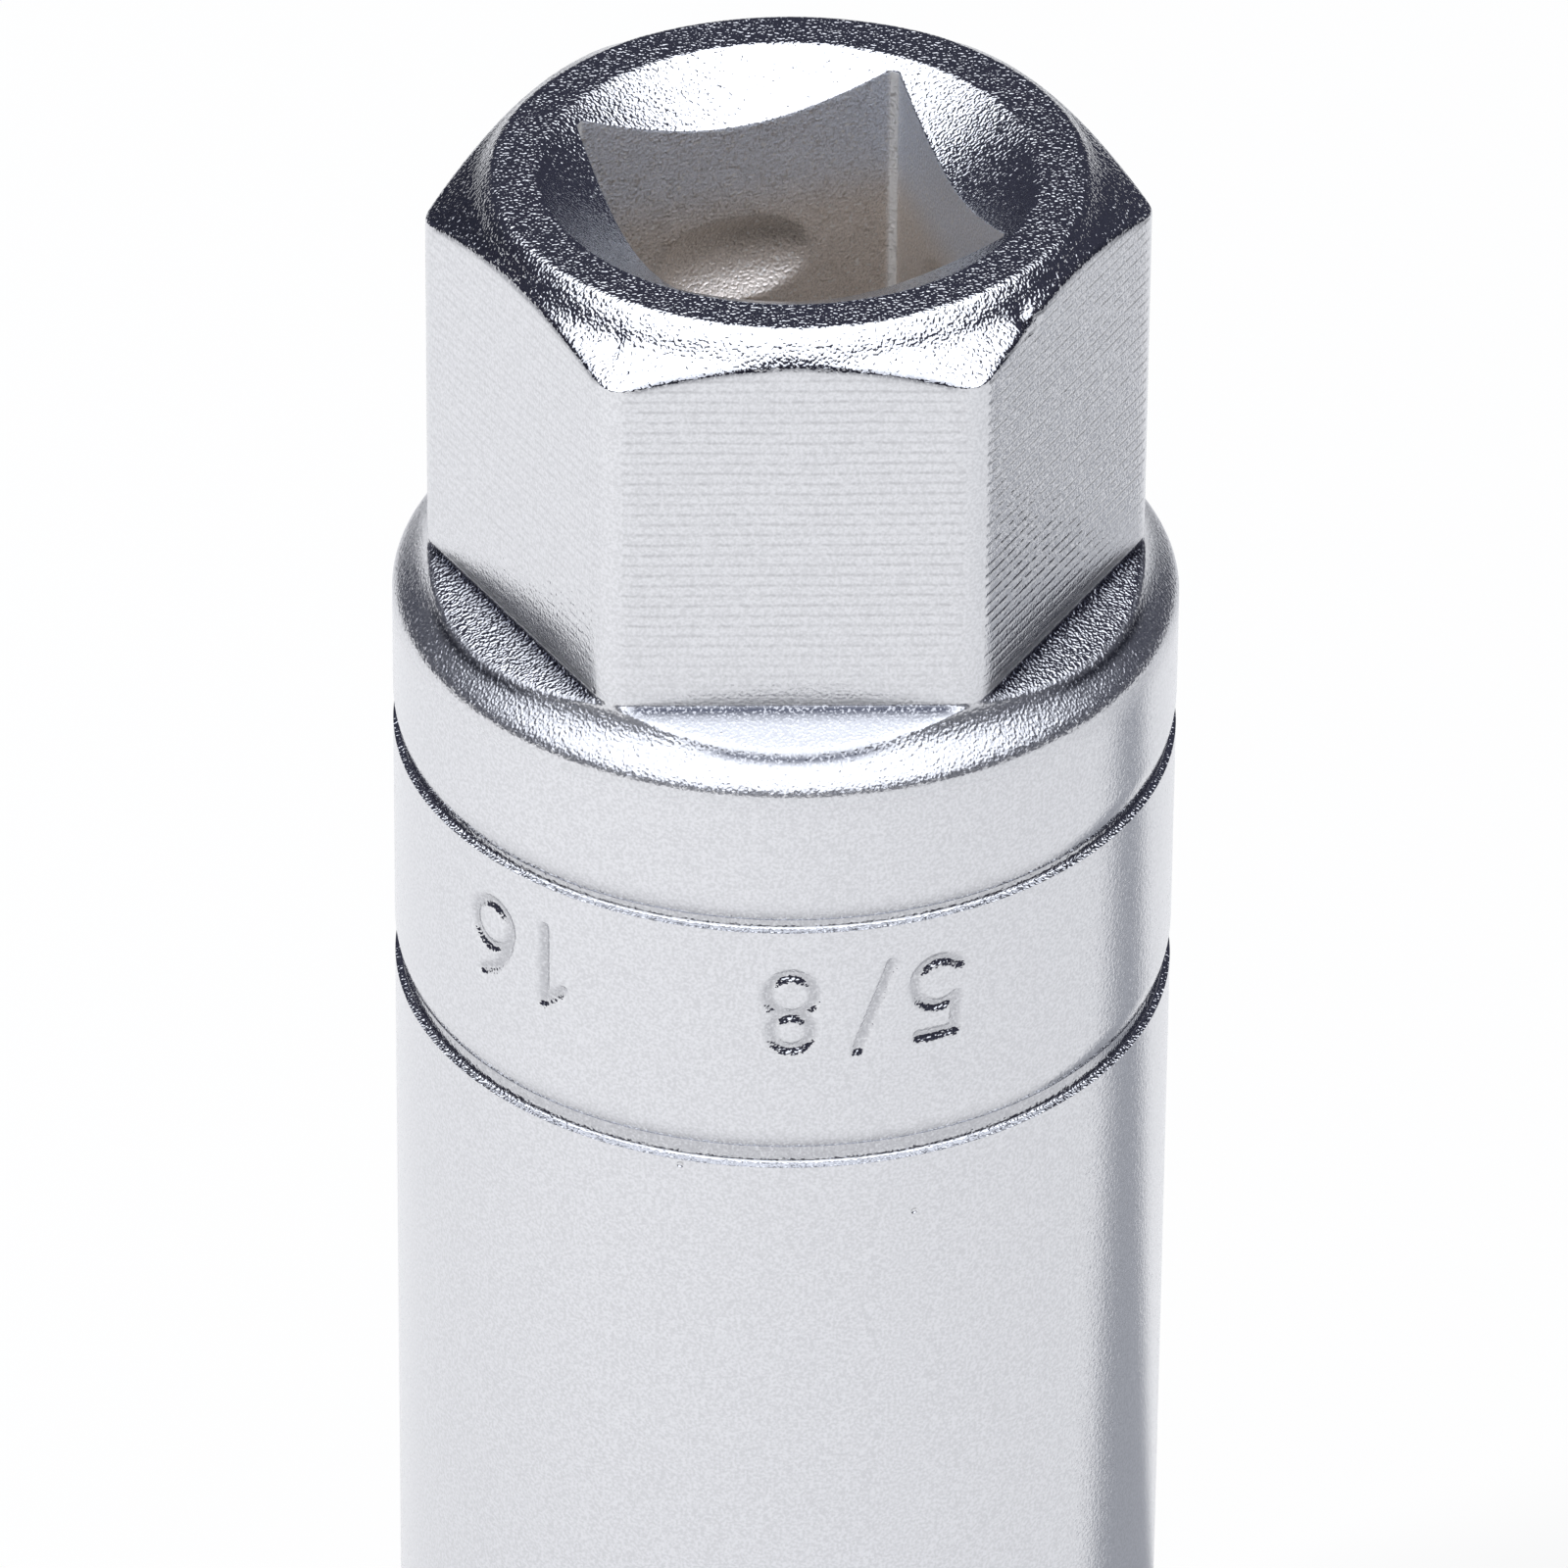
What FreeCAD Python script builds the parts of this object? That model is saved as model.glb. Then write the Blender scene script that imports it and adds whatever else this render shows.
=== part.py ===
import FreeCAD, Part
import math
import os
from collections import namedtuple

import Sketcher

# Spark plug socket: a long round socket with a square drive, a spanner hexagon turned and milled
# on the drive end, two turned marking rings, a hexagon opening for the plug and a rubber sleeve
# inside that grips the plug's insulator.
# Millimetres. The open end stands on the XY plane, the socket's axis is Z with the drive end up,
# and the X axis is square to a wall of the drive square.

SIZES = {
    # Body
    "socket_length": 65.0,
    "body_dia": 22.5,
    "mouth_edge": 0.8,
    # Spanner hexagon on the drive end, lengths from the drive face down
    "spanner_flats": 18.0,
    "hex_turn": 12.9,
    "hex_corner_dia": 20.47,
    "flats_length": 12.1,
    "flat_root_round": 0.3,
    "shelf_slope": 19.0,
    "corner_land_length": 12.5,
    "land_flare_height": 0.6,
    "land_flare": 0.45,
    "face_ring_dia": 16.9,
    "face_ring_height": 0.35,
    "drive_chamfer_slope": 32.0,
    # Shoulder and collar under the hexagon
    "shoulder_height": 1.0,
    "collar_length": 4.0,
    # Marking band between two turned rings
    "upper_ring_width": 0.65,
    "upper_ring_depth": 0.25,
    "band_length": 7.05,
    "lower_ring_width": 1.0,
    "lower_ring_depth": 0.3,
    "ring_wall_slope": 50.0,
    # Drive square
    "drive_square": 9.6,
    "drive_square_depth": 12.0,
    "drive_square_round": 0.65,
    "countersink_dia": 14.1,
    "countersink_slope": 30.0,
    "detent_drop": 5.7,
    "detent_height": 2.8,
    "detent_depth": 0.52,
    "detent_wall_slope": 30.0,
    # Inside of the body, lengths from the open end up
    "plug_hex_flats": 16.2,
    "plug_hex_depth": 17.0,
    "plug_hex_round": 0.4,
    "lead_in_dia": 19.2,
    "lead_in_slope": 30.0,
    "bore_dia": 16.0,
    "bore_depth": 50.0,
    "bore_end_slope": 30.0,
    "web_hole_dia": 9.0,
    "seat_start": 22.0,
    "seat_length": 14.0,
    "seat_depth": 0.8,
    # Rubber sleeve
    "sleeve_side_clearance": 0.05,
    "sleeve_end_clearance": 0.2,
    "sleeve_grip_dia": 10.2,
    "sleeve_lead_in": 1.6,
    "sleeve_top_lead_in": 0.8,
    "sleeve_edge": 0.4,
    "relief_width": 1.6,
    "relief_depth": 0.6,
    "relief_wall_slope": 60.0,
    "relief_pitch": 3.6,
    # How far a cutter runs clear of the metal
    "overrun": 1.0,
}

# Places along the axis and radii that several features share
TOP = "Sizes.socket_length"
BODY_RADIUS = "Sizes.body_dia / 2"
LAND_RADIUS = "Sizes.hex_corner_dia / 2"
FACE_RING_RADIUS = "Sizes.face_ring_dia / 2"
LAND_FOOT = f"{TOP} - Sizes.corner_land_length"
SHOULDER_FOOT = f"{LAND_FOOT} - Sizes.shoulder_height"
CHAMFER_HEAD = f"{TOP} - Sizes.face_ring_height"
CHAMFER_DROP = f"({LAND_RADIUS} - {FACE_RING_RADIUS}) * tan(Sizes.drive_chamfer_slope)"
UPPER_RING_HEAD = f"{SHOULDER_FOOT} - Sizes.collar_length"
UPPER_RING_FOOT = f"{UPPER_RING_HEAD} - Sizes.upper_ring_width"
LOWER_RING_HEAD = f"{UPPER_RING_FOOT} - Sizes.band_length"
LOWER_RING_FOOT = f"{LOWER_RING_HEAD} - Sizes.lower_ring_width"
DETENT_MIDDLE = f"{TOP} - Sizes.detent_drop"
SEAT_RADIUS = "Sizes.bore_dia / 2 + Sizes.seat_depth"
SEAT_HEAD = "Sizes.seat_start + Sizes.seat_length"
SLEEVE_HEAD = f"{SEAT_HEAD} - Sizes.sleeve_end_clearance"
GRIP_RADIUS = "Sizes.sleeve_grip_dia / 2"

Corner = namedtuple("Corner", "across up rounding", defaults=[None])


def add_sizes(document):
    """The sheet of driving dimensions, one aliased cell each."""
    sheet = document.addObject("Spreadsheet::Sheet", "Sizes")
    for row, (name, size) in enumerate(SIZES.items(), start=1):
        sheet.set(f"A{row}", name)
        sheet.set(f"B{row}", str(size))
        sheet.setAlias(f"B{row}", name)
    document.recompute()


def origin_feature(body, role):
    """The body's own origin plane or axis with this role."""
    return next(item for item in body.Origin.OriginFeatures if item.Role == role)


def add_sketch(body, name, plane, height=None, turn=None):
    """A sketch on an origin plane, raised to a height or turned about the socket's axis."""
    sketch = body.newObject("Sketcher::SketchObject", name)
    sketch.AttachmentSupport = [(origin_feature(body, plane), "")]
    sketch.MapMode = "FlatFace"
    if height:
        sketch.setExpression("AttachmentOffset.Base.z", height)
    if turn:
        sketch.AttachmentOffset = FreeCAD.Placement(FreeCAD.Vector(), FreeCAD.Vector(0, 1, 0), 1)
        sketch.setExpression("AttachmentOffset.Rotation.Angle", turn)
    return sketch


def number(sketch, formula):
    """What a formula of the sheet's sizes comes to."""
    return float(sketch.evalExpression(formula))


def constrain(sketch, value, formula, *kind_and_items):
    """Add a dimension to the sketch and bind it to a formula."""
    index = sketch.addConstraint(Sketcher.Constraint(*kind_and_items, value))
    sketch.setExpression(f"Constraints[{index}]", formula)


def pin_point(sketch, geometry, position, across, up):
    """Dimension a point of the sketch from its origin."""
    constrain(sketch, number(sketch, across), across, "DistanceX", -1, 1, geometry, position)
    constrain(sketch, number(sketch, up), up, "DistanceY", -1, 1, geometry, position)


def draw_outline(sketch, corners):
    """A closed outline of straight sides, each corner dimensioned and rounded where it says so."""
    count = len(corners)
    spots = [FreeCAD.Vector(number(sketch, c.across), number(sketch, c.up), 0) for c in corners]
    radii = [number(sketch, c.rounding) if c.rounding else 0.0 for c in corners]
    arrivals, departures, centres, left_turns = [], [], [], []
    for i, spot in enumerate(spots):
        back = (spots[i - 1] - spot).normalize()
        ahead = (spots[(i + 1) % count] - spot).normalize()
        half_angle = back.getAngle(ahead) / 2
        arrivals.append(spot + back * (radii[i] / math.tan(half_angle)))
        departures.append(spot + ahead * (radii[i] / math.tan(half_angle)))
        centres.append(spot + (back + ahead).normalize() * (radii[i] / math.sin(half_angle)))
        left_turns.append(ahead.cross(back).z > 0)
    sides = [
        sketch.addGeometry(Part.LineSegment(departures[i], arrivals[(i + 1) % count]))
        for i in range(count)
    ]
    for i, corner in enumerate(corners):
        arriving, leaving = sides[i - 1], sides[i]
        if not corner.rounding:
            sketch.addConstraint(Sketcher.Constraint("Coincident", arriving, 2, leaving, 1))
            pin_point(sketch, leaving, 1, corner.across, corner.up)
            continue
        ends = [arrivals[i] - centres[i], departures[i] - centres[i]]
        first, last = (1, 2) if left_turns[i] else (2, 1)
        if not left_turns[i]:
            ends.reverse()
        angles = [math.atan2(end.y, end.x) for end in ends]
        circle = Part.Circle(centres[i], FreeCAD.Vector(0, 0, 1), radii[i])
        arc = sketch.addGeometry(Part.ArcOfCircle(circle, *angles))
        sketch.addConstraint(Sketcher.Constraint("Tangent", arriving, 2, arc, first))
        sketch.addConstraint(Sketcher.Constraint("Tangent", arc, last, leaving, 1))
        constrain(sketch, radii[i], corner.rounding, "Radius", arc)
        apex = sketch.addGeometry(Part.Point(spots[i]), True)
        sketch.addConstraint(Sketcher.Constraint("PointOnObject", apex, 1, arriving))
        sketch.addConstraint(Sketcher.Constraint("PointOnObject", apex, 1, leaving))
        pin_point(sketch, apex, 1, corner.across, corner.up)


def draw_tapered_slot(sketch, wall, floor, foot, head, slope):
    """A slot's section: as wide as from foot to head at the wall, narrower at its floor."""
    splay = f"abs({floor} - {wall}) / tan({slope})"
    beyond = f"2 * {wall} - ({floor})"
    draw_outline(sketch, [
        Corner(floor, f"{foot} + {splay}"),
        Corner(beyond, f"{foot} - {splay}"),
        Corner(beyond, f"{head} + {splay}"),
        Corner(floor, f"{head} - {splay}"),
    ])


def revolve(body, kind, name, sketch):
    """Turn a section about the socket's axis, as added metal or as a cut."""
    feature = body.newObject(kind, name)
    feature.Profile = sketch
    feature.ReferenceAxis = (sketch, ["V_Axis"])
    feature.Angle = 360
    return feature


def turn_cut(body, name, sketch):
    """A cut made by turning."""
    return revolve(body, "PartDesign::Groove", name, sketch)


def sink_cut(body, name, sketch, depth, upwards=False):
    """A straight-sided cut, down from the sketch or up from it."""
    feature = body.newObject("PartDesign::Pocket", name)
    feature.Profile = sketch
    feature.Reversed = upwards
    feature.setExpression("Length", depth)
    return feature


def polygon_corners(flats, sides, first_angle, rounding):
    """Corners of a regular polygon of this size across its flats."""
    reach = f"({flats} / 2 / cos(180 / {sides}))"
    angles = [first_angle + 360 * i / sides for i in range(sides)]
    return [Corner(f"{reach} * cos({a})", f"{reach} * sin({a})", rounding) for a in angles]


def turn_blank(body):
    """The turned outside: plain body, collar, shoulder, spanner end, chamfer and raised face."""
    sketch = add_sketch(body, "blank_section", "XZ_Plane")
    draw_outline(sketch, [
        Corner("0", "0"),
        Corner(f"{BODY_RADIUS} - Sizes.mouth_edge", "0"),
        Corner(BODY_RADIUS, "Sizes.mouth_edge"),
        Corner(BODY_RADIUS, SHOULDER_FOOT),
        Corner(f"{LAND_RADIUS} + Sizes.land_flare", f"{LAND_FOOT} - Sizes.land_flare"),
        Corner(LAND_RADIUS, f"{LAND_FOOT} + Sizes.land_flare_height"),
        Corner(LAND_RADIUS, f"{CHAMFER_HEAD} - {CHAMFER_DROP}"),
        Corner(FACE_RING_RADIUS, CHAMFER_HEAD),
        Corner(FACE_RING_RADIUS, TOP),
        Corner("0", TOP),
    ])
    revolve(body, "PartDesign::Revolution", "blank", sketch)


def mill_flats(body):
    """Six flats that run down into a rounded root and a shelf that falls towards the shoulder."""
    sketch = add_sketch(body, "flat_section", "XZ_Plane", turn="Sizes.hex_turn")
    flat, outside = "Sizes.spanner_flats / 2", f"{BODY_RADIUS} + Sizes.overrun"
    shelf, above = f"{TOP} - Sizes.flats_length", f"{TOP} + Sizes.overrun"
    fall = f"({outside} - {flat}) * tan(Sizes.shelf_slope)"
    draw_outline(sketch, [
        Corner(flat, shelf, "Sizes.flat_root_round"),
        Corner(outside, f"{shelf} - {fall}"),
        Corner(outside, above),
        Corner(flat, above),
    ])
    cut = sink_cut(body, "flat_cut", sketch, "Sizes.body_dia")
    cut.SideType = "Symmetric"
    flats = body.newObject("PartDesign::PolarPattern", "six_flats")
    flats.Originals = [cut]
    flats.Axis = (origin_feature(body, "Z_Axis"), [""])
    flats.Angle = 360
    flats.Occurrences = 6
    body.Tip = flats


def turn_marking_rings(body):
    """The two shallow rings that bound the marking band."""
    rings = {
        "upper_ring": (UPPER_RING_FOOT, UPPER_RING_HEAD, "Sizes.upper_ring_depth"),
        "lower_ring": (LOWER_RING_FOOT, LOWER_RING_HEAD, "Sizes.lower_ring_depth"),
    }
    for name, (foot, head, depth) in rings.items():
        sketch = add_sketch(body, f"{name}_section", "XZ_Plane")
        floor = f"{BODY_RADIUS} - {depth}"
        draw_tapered_slot(sketch, BODY_RADIUS, floor, foot, head, "Sizes.ring_wall_slope")
        turn_cut(body, name, sketch)


def cut_drive_square(body):
    """The square recess, its countersunk mouth and the turned groove that holds the drive's ball."""
    square = add_sketch(body, "square_outline", "XY_Plane", height=TOP)
    draw_outline(square, polygon_corners("Sizes.drive_square", 4, 45, "Sizes.drive_square_round"))
    sink_cut(body, "drive_square", square, "Sizes.drive_square_depth")

    mouth = add_sketch(body, "countersink_section", "XZ_Plane")
    slope = "tan(Sizes.countersink_slope)"
    draw_outline(mouth, [
        Corner("0", f"{TOP} - Sizes.countersink_dia / 2 * {slope}"),
        Corner(f"Sizes.countersink_dia / 2 + Sizes.overrun / {slope}", f"{TOP} + Sizes.overrun"),
        Corner("0", f"{TOP} + Sizes.overrun"),
    ])
    turn_cut(body, "countersink", mouth)

    detent = add_sketch(body, "detent_section", "XZ_Plane")
    wall = "Sizes.drive_square / 2"
    draw_tapered_slot(
        detent,
        wall,
        f"{wall} + Sizes.detent_depth",
        f"{DETENT_MIDDLE} - Sizes.detent_height / 2",
        f"{DETENT_MIDDLE} + Sizes.detent_height / 2",
        "Sizes.detent_wall_slope",
    )
    turn_cut(body, "detent_groove", detent)


def bore_inside(body):
    """The drilled bore with its coned end, the hole through the web and the sleeve's seat."""
    bore = add_sketch(body, "bore_section", "XZ_Plane")
    bore_radius, hole_radius = "Sizes.bore_dia / 2", "Sizes.web_hole_dia / 2"
    cone_height = f"({bore_radius} - {hole_radius}) * tan(Sizes.bore_end_slope)"
    draw_outline(bore, [
        Corner("0", "-Sizes.overrun"),
        Corner(bore_radius, "-Sizes.overrun"),
        Corner(bore_radius, f"Sizes.bore_depth - {cone_height}"),
        Corner(hole_radius, "Sizes.bore_depth"),
        Corner(hole_radius, f"{TOP} - Sizes.drive_square_depth + Sizes.overrun"),
        Corner("0", f"{TOP} - Sizes.drive_square_depth + Sizes.overrun"),
    ])
    turn_cut(body, "bore", bore)

    seat = add_sketch(body, "seat_section", "XZ_Plane")
    draw_outline(seat, [
        Corner(f"{bore_radius} / 2", "Sizes.seat_start"),
        Corner(SEAT_RADIUS, "Sizes.seat_start"),
        Corner(SEAT_RADIUS, SEAT_HEAD),
        Corner(f"{bore_radius} / 2", SEAT_HEAD),
    ])
    turn_cut(body, "sleeve_seat", seat)


def cut_plug_hexagon(body):
    """The hexagon opening that turns the plug, with its coned lead-in at the open end."""
    hexagon = add_sketch(body, "plug_hex_outline", "XY_Plane")
    draw_outline(hexagon, polygon_corners("Sizes.plug_hex_flats", 6, 0, "Sizes.plug_hex_round"))
    sink_cut(body, "plug_hexagon", hexagon, "Sizes.plug_hex_depth", upwards=True)

    lead_in = add_sketch(body, "lead_in_section", "XZ_Plane")
    slope = "tan(Sizes.lead_in_slope)"
    draw_outline(lead_in, [
        Corner("0", "-Sizes.overrun"),
        Corner(f"Sizes.lead_in_dia / 2 + Sizes.overrun / {slope}", "-Sizes.overrun"),
        Corner("0", f"Sizes.lead_in_dia / 2 * {slope}"),
    ])
    turn_cut(body, "lead_in", lead_in)


def make_socket_body(document):
    """The steel body, one solid."""
    body = document.addObject("PartDesign::Body", "socket_body")
    body.Label = "socket_body"
    turn_blank(body)
    mill_flats(body)
    turn_marking_rings(body)
    cut_drive_square(body)
    bore_inside(body)
    cut_plug_hexagon(body)


def make_insulator_sleeve(document):
    """The rubber sleeve, seated on its lower shoulder, with relief grooves between its grip lands."""
    body = document.addObject("PartDesign::Body", "insulator_sleeve")
    body.Label = "insulator_sleeve"
    outside = f"{SEAT_RADIUS} - Sizes.sleeve_side_clearance"
    foot = "Sizes.seat_start"
    section = add_sketch(body, "sleeve_section", "XZ_Plane")
    draw_outline(section, [
        Corner(f"{GRIP_RADIUS} + Sizes.sleeve_lead_in", foot),
        Corner(f"{outside} - Sizes.sleeve_edge", foot),
        Corner(outside, f"{foot} + Sizes.sleeve_edge"),
        Corner(outside, f"{SLEEVE_HEAD} - Sizes.sleeve_edge"),
        Corner(f"{outside} - Sizes.sleeve_edge", SLEEVE_HEAD),
        Corner(f"{GRIP_RADIUS} + Sizes.sleeve_top_lead_in", SLEEVE_HEAD),
        Corner(GRIP_RADIUS, f"{SLEEVE_HEAD} - Sizes.sleeve_top_lead_in"),
        Corner(GRIP_RADIUS, f"{foot} + Sizes.sleeve_lead_in"),
    ])
    revolve(body, "PartDesign::Revolution", "sleeve", section)

    relief = add_sketch(body, "relief_section", "XZ_Plane")
    lowest = f"({foot} + {SLEEVE_HEAD}) / 2 - Sizes.relief_pitch"
    draw_tapered_slot(
        relief,
        GRIP_RADIUS,
        f"{GRIP_RADIUS} + Sizes.relief_depth",
        f"{lowest} - Sizes.relief_width / 2",
        f"{lowest} + Sizes.relief_width / 2",
        "Sizes.relief_wall_slope",
    )
    cut = turn_cut(body, "relief", relief)
    reliefs = body.newObject("PartDesign::LinearPattern", "three_reliefs")
    reliefs.Originals = [cut]
    reliefs.Direction = (origin_feature(body, "Z_Axis"), [""])
    reliefs.setExpression("Length", "2 * Sizes.relief_pitch")
    reliefs.Occurrences = 3
    body.Tip = reliefs


def check_and_export(document):
    """Stop on any failed object, then write each sub-part to its own file."""
    for item in document.Objects:
        if "Invalid" in item.State or "Error" in item.State:
            raise RuntimeError(f"{item.Label} failed: {item.State}")
    bodies = [item for item in document.Objects if item.TypeId == "PartDesign::Body"]
    for body in bodies:
        shape = body.Shape
        if shape.isNull() or not shape.isValid() or len(shape.Solids) != 1:
            raise RuntimeError(f"{body.Label} is not one valid solid")
    os.makedirs("parts", exist_ok=True)
    for body in bodies:
        body.Shape.exportStep(os.path.join("parts", f"{body.Label}.step"))
        print(body.Label, "volume", round(body.Shape.Volume, 2), "box", body.Shape.BoundBox)


def main():
    """Build the socket and write its parts."""
    document = FreeCAD.newDocument("spark_plug_socket")
    add_sizes(document)
    make_socket_body(document)
    make_insulator_sleeve(document)
    document.recompute()
    check_and_export(document)


main()
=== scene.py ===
"""Looks of a long round spark plug socket: satin chrome body, rubber sleeve inside, pale studio."""
import logging
import math
from dataclasses import dataclass
from enum import Enum

import bpy
import numpy as np
from mathutils import Matrix, Vector


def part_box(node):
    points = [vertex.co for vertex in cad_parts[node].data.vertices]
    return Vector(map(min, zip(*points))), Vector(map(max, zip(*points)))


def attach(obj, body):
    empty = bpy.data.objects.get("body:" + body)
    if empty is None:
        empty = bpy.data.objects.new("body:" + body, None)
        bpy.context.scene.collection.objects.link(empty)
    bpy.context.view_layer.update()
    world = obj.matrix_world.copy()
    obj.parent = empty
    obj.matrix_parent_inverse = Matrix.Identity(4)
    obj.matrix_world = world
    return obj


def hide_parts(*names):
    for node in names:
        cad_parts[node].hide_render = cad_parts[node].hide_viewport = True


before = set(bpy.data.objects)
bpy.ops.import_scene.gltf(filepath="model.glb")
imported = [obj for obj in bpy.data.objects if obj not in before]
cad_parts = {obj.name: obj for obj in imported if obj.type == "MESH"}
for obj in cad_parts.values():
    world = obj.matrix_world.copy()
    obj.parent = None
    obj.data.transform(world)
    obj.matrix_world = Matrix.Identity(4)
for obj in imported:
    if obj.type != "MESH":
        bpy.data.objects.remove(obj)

MM = 0.001
Colour = tuple[float, float, float]
Span = tuple[float, float]
log = logging.getLogger("socket_looks")


def smooth_least(a: np.ndarray, b: np.ndarray, blend: float) -> np.ndarray:
    """The lesser of two arrays, rounded where they cross.

    Formula: min(a, b) - blend * h^2 / 4, where h = max(blend - |a - b|, 0) / blend.

    Args:
        a: First array.
        b: Second array, of a shape that goes with the first.
        blend: Difference below which the two flow into each other.

    Returns:
        The rounded lesser value.
    """
    h = np.maximum(blend - np.abs(a - b), 0.0) / blend
    return np.minimum(a, b) - blend * h * h / 4


def smooth_most(a: np.ndarray, b: np.ndarray, blend: float) -> np.ndarray:
    """The greater of two arrays, rounded where they cross: minus the smooth least of -a and -b."""
    return -smooth_least(-np.asarray(a), -np.asarray(b), blend)


def smooth_step(low: float, high: float, value: np.ndarray) -> np.ndarray:
    """Zero below low, one above high and t^2 (3 - 2 t) between them."""
    t = np.clip((value - low) / (high - low), 0.0, 1.0)
    return t * t * (3 - 2 * t)


def bell(away: np.ndarray, width: float) -> np.ndarray:
    """A bell-shaped curve, exp(-(away / width)^2): one in the middle, near zero past two widths."""
    return np.exp(-((away / width) ** 2))


def turned_from(azimuth: np.ndarray, middle: float, step: float) -> np.ndarray:
    """Signed angle to the nearest step: (azimuth - middle + step / 2) mod step - step / 2."""
    return (azimuth - middle + step / 2) % step - step / 2


def polygon_radius(azimuth: np.ndarray, apothem: float, sides: int, first: float,
                   blend: float) -> np.ndarray:
    """How far a regular polygon's wall is from the axis, seen along each azimuth.

    Formula: apothem / cos(d), where d is the angle to the nearest wall's middle, rounded at the
    corners against the next wall, apothem / cos(360 / sides - |d|).

    Args:
        azimuth: Azimuths in radians.
        apothem: Distance of each wall from the axis.
        sides: Number of walls.
        first: Azimuth of one wall's middle, in degrees.
        blend: How soft the corners are.

    Returns:
        The distance of the wall along each azimuth.
    """
    step = 2 * math.pi / sides
    off = turned_from(azimuth, math.radians(first), step)
    return smooth_least(apothem / np.cos(off), apothem / np.cos(step - np.abs(off)), blend)


def levels(starts: list[tuple[np.ndarray | float, int]], columns: int) -> np.ndarray:
    """Heights of the rows, run after run, for every column.

    Formula: foot + (head - foot) * i / rows, with i from 0 to rows - 1. The head of each run is
    the foot of the next one.

    Args:
        starts: The foot of each run and its number of rows. The last one only gives a head.
        columns: Number of columns of the grid.

    Returns:
        Array of rows by columns.
    """
    runs = []
    for (foot, rows), (head, _) in zip(starts, starts[1:]):
        foot, head = np.broadcast_to(foot, columns), np.broadcast_to(head, columns)
        t = np.linspace(0.0, 1.0, rows, endpoint=False)[:, None]
        runs.append(foot + (head - foot) * t)
    return np.concatenate(runs)


@dataclass
class ProfileCorner:
    """A corner of a turned section: its radius and height in every column, and its rounding."""

    radius: np.ndarray | float
    height: np.ndarray | float
    rounding: float = 0.1
    steps: int = 4


def rounded_run(corners: list[ProfileCorner], columns: int) -> np.ndarray:
    """Rows of a section that runs along straight sides and turns its corners softly.

    Formula: each corner C becomes (1 - u)^2 A + 2 u (1 - u) C + u^2 B, with A and B on its two
    sides, one rounding from C and never more than 0.45 of a side.

    Args:
        corners: The corners in order. The first and last only give directions.
        columns: Number of columns of the grid.

    Returns:
        Array of rows by columns by (radius, height).
    """
    spots = [
        np.stack([np.broadcast_to(c.radius, columns), np.broadcast_to(c.height, columns)], axis=-1)
        for c in corners
    ]
    rows = []
    for before, spot, after, corner in zip(spots, spots[1:], spots[2:], corners[1:]):
        back, ahead = before - spot, after - spot
        back_length = np.linalg.norm(back, axis=-1, keepdims=True)
        ahead_length = np.linalg.norm(ahead, axis=-1, keepdims=True)
        reach = np.minimum(corner.rounding, 0.45 * np.minimum(back_length, ahead_length))
        start = spot + back / back_length * reach
        end = spot + ahead / ahead_length * reach
        u = np.linspace(0.0, 1.0, corner.steps)[:, None, None]
        rows.append((1 - u) ** 2 * start + 2 * u * (1 - u) * spot + u * u * end)
    return np.concatenate(rows)


def distance_to_strokes(across: np.ndarray, up: np.ndarray,
                        strokes: list[np.ndarray]) -> np.ndarray:
    """Distance of each point from the nearest of several bent lines.

    Formula: for a piece from P to Q, the point's foot is P + t (Q - P), with t held from 0 to 1.

    Args:
        across: Points' positions along the writing.
        up: Points' positions up the writing.
        strokes: Bent lines, each an array of points.

    Returns:
        The distances.
    """
    nearest = np.full(across.shape, np.inf)
    for stroke in strokes:
        for (px, py), (qx, qy) in zip(stroke, stroke[1:]):
            dx, dy = qx - px, qy - py
            t = np.clip(((across - px) * dx + (up - py) * dy) / (dx * dx + dy * dy), 0.0, 1.0)
            nearest = np.minimum(nearest, np.hypot(across - px - t * dx, up - py - t * dy))
    return nearest


def bow(centre: tuple[float, float], radius: float, start: float, end: float,
        pieces: int = 16) -> np.ndarray:
    """Points along a circle's arc: centre + radius (cos a, sin a), with a from start to end."""
    angle = np.radians(np.linspace(start, end, pieces + 1))
    return np.stack([centre[0] + radius * np.cos(angle), centre[1] + radius * np.sin(angle)], -1)


class Numeral(Enum):
    """Plain numerals and a fraction bar, as strokes in a box one unit high."""

    ONE = "1"
    FIVE = "5"
    SIX = "6"
    EIGHT = "8"
    BAR = "/"

    def strokes(self) -> list[np.ndarray]:
        """The numeral's strokes: straight lines and arcs.

        Returns:
            The strokes, each an array of points.
        """
        return {
            Numeral.ONE: [np.array([(0.12, 0.76), (0.38, 1.0), (0.38, 0.0)])],
            Numeral.FIVE: [
                np.array([(0.56, 1.0), (0.12, 1.0), (0.09, 0.54)]),
                bow((0.30, 0.31), 0.31, 132, -140),
            ],
            Numeral.SIX: [
                bow((0.32, 0.30), 0.30, 0, 360, 20),
                np.array([(0.02, 0.32), (0.08, 0.58), (0.24, 0.84), (0.48, 1.0)]),
            ],
            Numeral.EIGHT: [
                bow((0.32, 0.27), 0.27, 0, 360, 20),
                bow((0.32, 0.77), 0.23, 0, 360, 18),
            ],
            Numeral.BAR: [np.array([(0.02, -0.06), (0.42, 1.06)])],
        }[self]


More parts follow.
